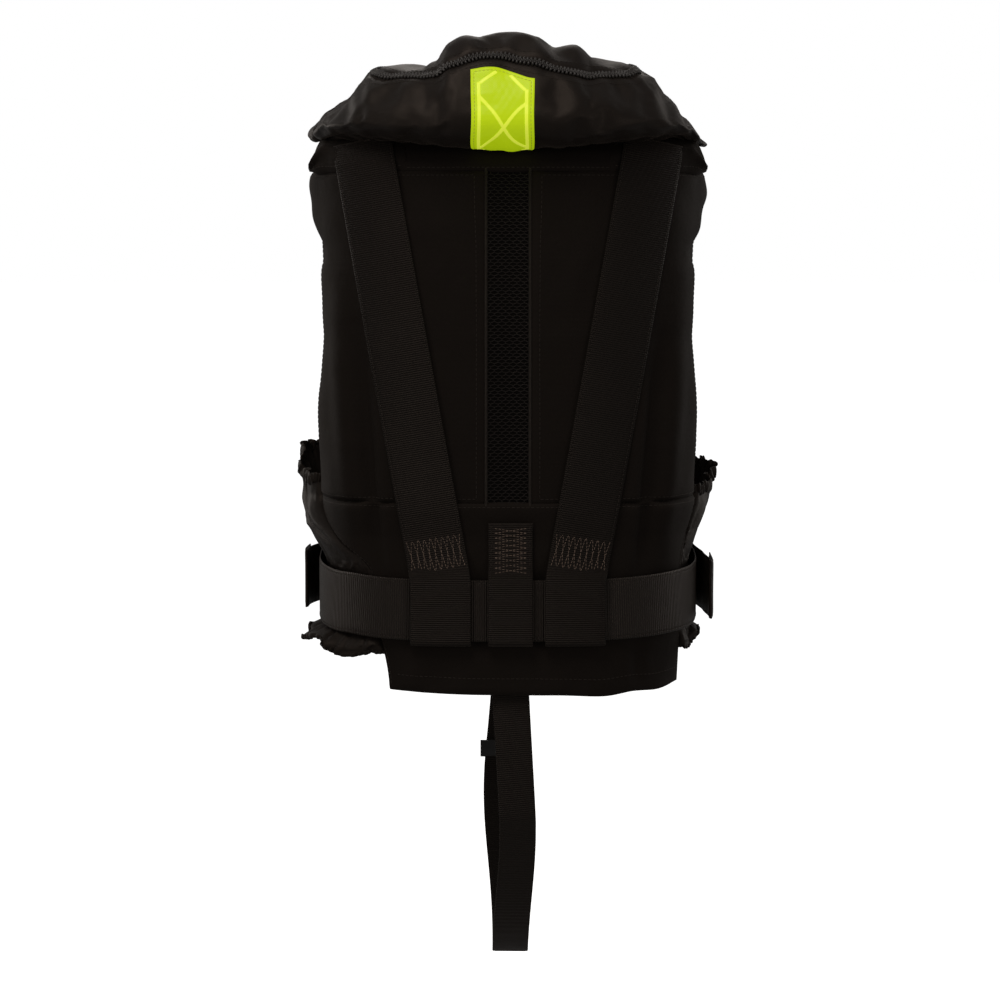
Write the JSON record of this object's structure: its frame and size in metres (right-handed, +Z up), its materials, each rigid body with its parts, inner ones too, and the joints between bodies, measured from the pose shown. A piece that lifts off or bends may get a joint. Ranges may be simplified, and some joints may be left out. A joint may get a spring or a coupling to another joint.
{
  "type": "inflatable life jacket",
  "caption": "Vest-type inflatable life jacket: folded bladder in a horseshoe cover, zipped front, waist belt with side-release buckle, back straps and crotch strap.",
  "frame": {"origin": "middle of the neck opening, level with the nape, where the wearer's neck holds the jacket", "axes": "+Z up, +Y the way the wearer faces, +X the wearer's right"},
  "size_m": [0.3398, 0.3024, 0.7651],
  "materials": {
    "shell_fabric": "matte woven nylon, warm black",
    "spacer_mesh": "open spacer mesh, black",
    "gusset_nylon": "thin shiny nylon, gathered, black",
    "softshell": "satin softshell, warm black",
    "zip_plastic": "moulded black teeth on woven tape",
    "zip_metal": "dark coated zinc",
    "bladder_fabric": "coated yellow bladder cloth",
    "reflective": "fluorescent yellow-green prismatic tape",
    "webbing": "ribbed polyester webbing, black",
    "black_plastic": "moulded acetal, fine texture",
    "red_plastic": "moulded, red",
    "green_plastic": "moulded, green",
    "orange_plastic": "moulded, orange",
    "steel": "satin steel"
  },
  "bodies": {
    "vest": {"back_panel_left": "shell_fabric", "back_panel_right": "shell_fabric", "back_yoke": "shell_fabric", "lower_back_panel": "shell_fabric", "front_panel_left": "shell_fabric", "front_panel_right": "shell_fabric", "shoulder_left": "shell_fabric", "shoulder_right": "shell_fabric", "mesh_strip": "spacer_mesh", "side_gusset_left": "gusset_nylon", "side_gusset_right": "gusset_nylon", "collar_cover_outer": "softshell", "collar_cover_inner": "softshell", "lobe_cover_outer_left": "softshell", "lobe_cover_inner_left": "softshell", "lobe_cover_outer_right": "softshell", "lobe_cover_inner_right": "softshell", "burst_zip_chain": "zip_plastic", "front_zip_left": "zip_plastic", "front_zip_right": "zip_plastic", "front_zip_box": "zip_metal", "bladder": "bladder_fabric", "reflective_patch_back": "reflective", "reflective_patch_left": "reflective", "reflective_patch_right": "reflective", "hang_loop": "webbing", "back_strap_left": "webbing", "back_strap_right": "webbing", "belt_webbing": "webbing", "belt_tail_left": "webbing", "belt_tail_right": "webbing", "belt_keeper_left": "webbing", "belt_keeper_right": "webbing", "belt_front_left": "webbing", "back_belt_loop": "webbing", "crotch_strap_back": "webbing", "crotch_tab_front": "webbing", "tether_loop": "webbing", "belt_buckle_female": "black_plastic", "crotch_buckle_female": "black_plastic", "inflator_body": "black_plastic", "oral_tube": "black_plastic", "inflator_cap": "green_plastic"},
    "front_slider": {"front_zip_slider": "zip_metal"},
    "front_pull": {"front_zip_pull": "zip_metal"},
    "burst_slider": {"burst_zip_slider": "zip_metal"},
    "belt_male": {"belt_buckle_male": "black_plastic", "belt_front_right": "webbing"},
    "prong_upper": {"belt_prong_upper": "black_plastic"},
    "prong_lower": {"belt_prong_lower": "black_plastic"},
    "crotch_male": {"crotch_buckle_male": "black_plastic", "crotch_strap_front": "webbing", "crotch_slide": "black_plastic"},
    "lever": {"inflator_lever": "red_plastic"},
    "handle": {"pull_handle": "red_plastic"},
    "cylinder": {"co2_cylinder": "steel"},
    "oral_cap": {"oral_tube_cap": "orange_plastic"},
    "valve_pin": {"oral_valve_pin": "orange_plastic"},
    "whistle": {"whistle": "orange_plastic"},
    "tether": {"tether_ring": "steel"}
  },
  "joints": [
    {"name": "front_zip", "type": "slide", "parent": "vest", "child": "front_slider", "axis": [0, 0, -1], "range_m": [0, 0.168]},
    {"name": "front_zip_pull_swing", "type": "hinge", "parent": "front_slider", "child": "front_pull", "pos_m": [0, 0.1139, -0.166], "axis": [1, 0, 0], "range_deg": [0, 120]},
    {"name": "burst_zip", "type": "slide", "parent": "vest", "child": "burst_slider", "axis": [0.0094, 0, -1], "range_m": [0, 0.05]},
    {"name": "belt_release", "type": "slide", "parent": "vest", "child": "belt_male", "axis": [1, 0, 0], "range_m": [0, 0.026]},
    {"name": "belt_prong_upper_flex", "type": "hinge", "parent": "belt_male", "child": "prong_upper", "pos_m": [0.002, 0.131, -0.377], "axis": [0, -1, 0], "range_deg": [0, 8], "stiffness_Nm_per_rad": 0.4},
    {"name": "belt_prong_lower_flex", "type": "hinge", "parent": "belt_male", "child": "prong_lower", "pos_m": [0.002, 0.131, -0.419], "axis": [0, 1, 0], "range_deg": [0, 8], "stiffness_Nm_per_rad": 0.4},
    {"name": "crotch_release", "type": "slide", "parent": "vest", "child": "crotch_male", "axis": [0, 0, -1], "range_m": [0, 0.024]},
    {"name": "inflator_lever_pull", "type": "hinge", "parent": "vest", "child": "lever", "pos_m": [0.08898, 0.12629, -0.278], "axis": [0.3011, 0.9536, 0], "range_deg": [0, 70]},
    {"name": "pull_handle_swing", "type": "hinge", "parent": "lever", "child": "handle", "pos_m": [0.10805, 0.12027, -0.278], "axis": [0.3011, 0.9536, 0], "range_deg": [-70, 0]},
    {"name": "co2_cylinder_turn", "type": "hinge", "parent": "vest", "child": "cylinder", "pos_m": [0.06896, 0.13261, -0.214], "axis": [0, 0, 1], "continuous": true},
    {"name": "oral_cap_pull", "type": "slide", "parent": "vest", "child": "oral_cap", "axis": [0, 0, -1], "range_m": [0, 0.022]},
    {"name": "oral_valve_press", "type": "slide", "parent": "vest", "child": "valve_pin", "axis": [0, 0, 1], "range_m": [0, 0.004], "stiffness_N_per_m": 150},
    {"name": "whistle_draw", "type": "slide", "parent": "vest", "child": "whistle", "axis": [0, 0, -1], "range_m": [0, 0.035]},
    {"name": "tether_ring_swing", "type": "hinge", "parent": "vest", "child": "tether", "pos_m": [-0.07, 0.12646, -0.427], "axis": [0.9867, 0.1628, 0], "range_deg": [-30, 100]}
  ],
  "couplings": [
    {"joint": "pull_handle_swing", "follows": "inflator_lever_pull", "ratio": -1}
  ]
}
